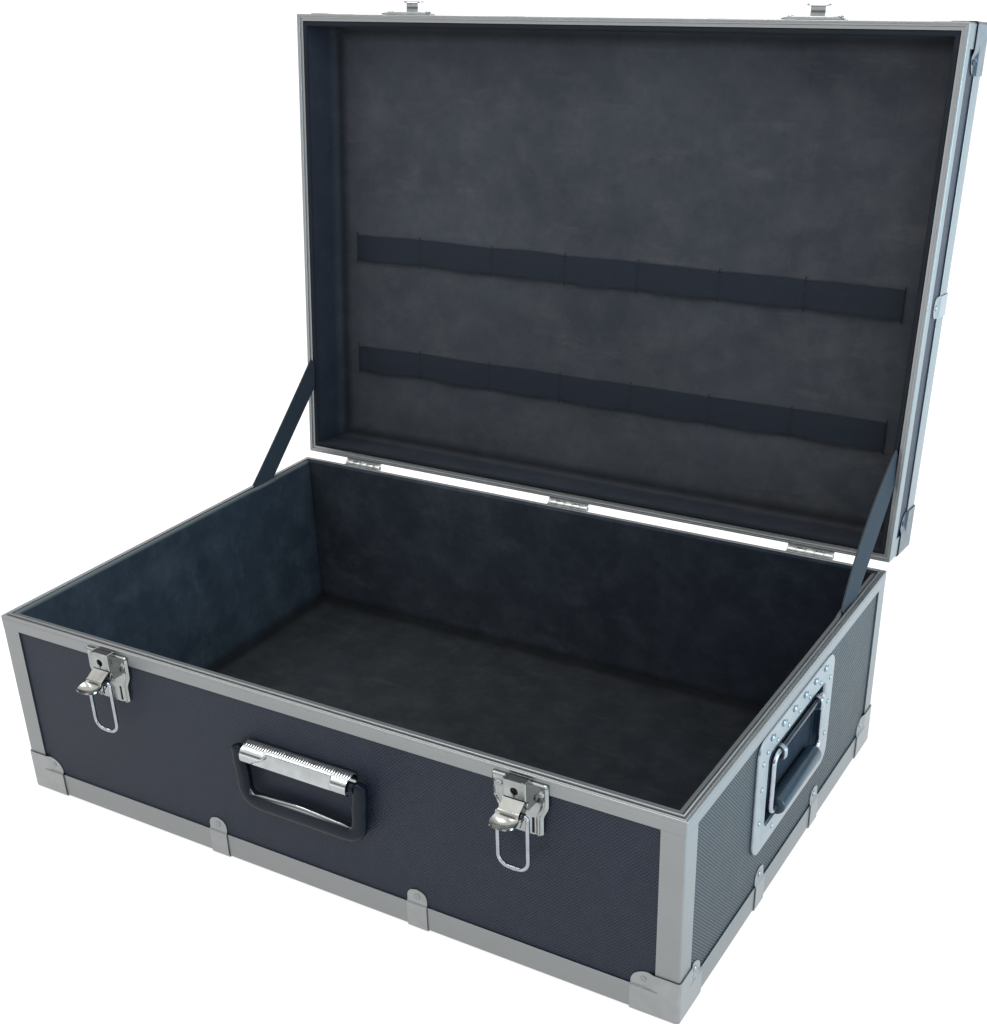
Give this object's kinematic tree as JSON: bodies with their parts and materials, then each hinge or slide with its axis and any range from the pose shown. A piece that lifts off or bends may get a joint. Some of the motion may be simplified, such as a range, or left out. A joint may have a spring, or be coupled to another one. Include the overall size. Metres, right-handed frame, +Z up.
{
  "type": "aluminium case",
  "caption": "Wide aluminium-framed carrying case, its hinged lid open, with lever latches, a front handle, recessed side handles and capped corners.",
  "frame": {"origin": "centre of the cavity's lined floor, midway between the walls of the base", "axes": "+X along the front, +Y towards the hinges at the back, +Z up; the front with the latches looks along -Y"},
  "size_m": [0.6704, 0.5852, 0.6308],
  "materials": {
    "board_laminate": "embossed slate laminate on board",
    "lining_cloth": "matt dark cloth over foam",
    "satin_aluminium": "satin anodised extrusion",
    "nickel_plate": "bright nickel-plated pressed steel",
    "black_plastic": "glossy black moulding",
    "webbing": "woven black webbing"
  },
  "bodies": {
    "base": {"base_back_panel": "board_laminate", "base_corner_cap_back_left": "nickel_plate", "base_corner_cap_back_right": "nickel_plate", "base_corner_cap_front_left": "nickel_plate", "base_corner_cap_front_right": "nickel_plate", "base_edge_frame": "satin_aluminium", "base_floor_panel": "board_laminate", "base_front_panel": "board_laminate", "base_left_panel": "board_laminate", "base_lining": "lining_cloth", "base_right_panel": "board_laminate", "base_rim_profile": "satin_aluminium", "front_handle_pivot_rod": "nickel_plate", "front_handle_saddle": "nickel_plate", "hinge_left_base_leaf": "nickel_plate", "hinge_left_pin": "nickel_plate", "hinge_middle_base_leaf": "nickel_plate", "hinge_middle_pin": "nickel_plate", "hinge_right_base_leaf": "nickel_plate", "hinge_right_pin": "nickel_plate", "latch_left_lever_axle": "nickel_plate", "latch_left_plate": "nickel_plate", "latch_right_lever_axle": "nickel_plate", "latch_right_plate": "nickel_plate", "side_handle_left_dish": "nickel_plate", "side_handle_right_dish": "nickel_plate", "stay_left": "webbing", "stay_right": "webbing"},
    "lid": {"hinge_left_lid_leaf": "nickel_plate", "hinge_middle_lid_leaf": "nickel_plate", "hinge_right_lid_leaf": "nickel_plate", "lid_back_panel": "board_laminate", "lid_corner_cap_back_left": "nickel_plate", "lid_corner_cap_back_right": "nickel_plate", "lid_corner_cap_front_left": "nickel_plate", "lid_corner_cap_front_right": "nickel_plate", "lid_edge_frame": "satin_aluminium", "lid_elastic_back": "webbing", "lid_elastic_front": "webbing", "lid_front_panel": "board_laminate", "lid_left_panel": "board_laminate", "lid_lining": "lining_cloth", "lid_right_panel": "board_laminate", "lid_rim_profile": "satin_aluminium", "lid_strike_left": "nickel_plate", "lid_strike_right": "nickel_plate", "lid_top_panel": "board_laminate"},
    "latch_left_lever": {"latch_left_lever": "nickel_plate", "latch_left_spring": "nickel_plate"},
    "latch_right_lever": {"latch_right_lever": "nickel_plate", "latch_right_spring": "nickel_plate"},
    "latch_left_bail": {"latch_left_bail": "nickel_plate"},
    "latch_right_bail": {"latch_right_bail": "nickel_plate"},
    "latch_left_lock_plug": {"latch_left_lock_plug": "nickel_plate"},
    "latch_right_lock_plug": {"latch_right_lock_plug": "nickel_plate"},
    "front_handle_grip": {"front_handle_grip": "black_plastic"},
    "side_handle_left_bail": {"side_handle_left_bail": "nickel_plate", "side_handle_left_grip": "black_plastic"},
    "side_handle_right_bail": {"side_handle_right_bail": "nickel_plate", "side_handle_right_grip": "black_plastic"}
  },
  "joints": [
    {"name": "lid_hinge", "type": "hinge", "parent": "base", "child": "lid", "pos_m": [0, 0.2245, 0.16765], "axis": [1, 0, 0], "range_deg": [0, 95.8], "deforming": ["stay_left", "stay_right"]},
    {"name": "latch_left_lever_hinge", "type": "hinge", "parent": "base", "child": "latch_left_lever", "pos_m": [-0.19851, -0.227, 0.147], "axis": [1, 0, 0], "range_deg": [0, 62]},
    {"name": "latch_left_bail_hinge", "type": "hinge", "parent": "latch_left_lever", "child": "latch_left_bail", "pos_m": [-0.19851, -0.23382, 0.14236], "axis": [-1, 0, 0], "range_deg": [0, 239.2], "deforming": ["latch_left_spring"]},
    {"name": "latch_left_lock_turn", "type": "hinge", "parent": "base", "child": "latch_left_lock_plug", "pos_m": [-0.19851, -0.2255, 0.1574], "axis": [0, -1, 0], "range_deg": [0, 90]},
    {"name": "latch_right_lever_hinge", "type": "hinge", "parent": "base", "child": "latch_right_lever", "pos_m": [0.19851, -0.227, 0.147], "axis": [1, 0, 0], "range_deg": [0, 50]},
    {"name": "latch_right_bail_hinge", "type": "hinge", "parent": "latch_right_lever", "child": "latch_right_bail", "pos_m": [0.19851, -0.2327, 0.14104], "axis": [-1, 0, 0], "range_deg": [0, 227.2], "deforming": ["latch_right_spring"]},
    {"name": "latch_right_lock_turn", "type": "hinge", "parent": "base", "child": "latch_right_lock_plug", "pos_m": [0.19851, -0.2255, 0.1574], "axis": [0, -1, 0], "range_deg": [0, 90]},
    {"name": "front_handle_hinge", "type": "hinge", "parent": "base", "child": "front_handle_grip", "pos_m": [0, -0.2271, 0.1127], "axis": [-1, 0, 0], "range_deg": [0, 90]},
    {"name": "side_handle_left_hinge", "type": "hinge", "parent": "base", "child": "side_handle_left_bail", "pos_m": [-0.3272, -0.004, 0.1287], "axis": [0, 1, 0], "range_deg": [0, 95]},
    {"name": "side_handle_right_hinge", "type": "hinge", "parent": "base", "child": "side_handle_right_bail", "pos_m": [0.3272, -0.004, 0.1287], "axis": [0, -1, 0], "range_deg": [0, 95]}
  ],
  "couplings": [
    {"joint": "latch_left_bail_hinge", "follows": "latch_left_lever_hinge", "ratio": 3.8565},
    {"joint": "latch_right_bail_hinge", "follows": "latch_right_lever_hinge", "ratio": 4.542}
  ]
}
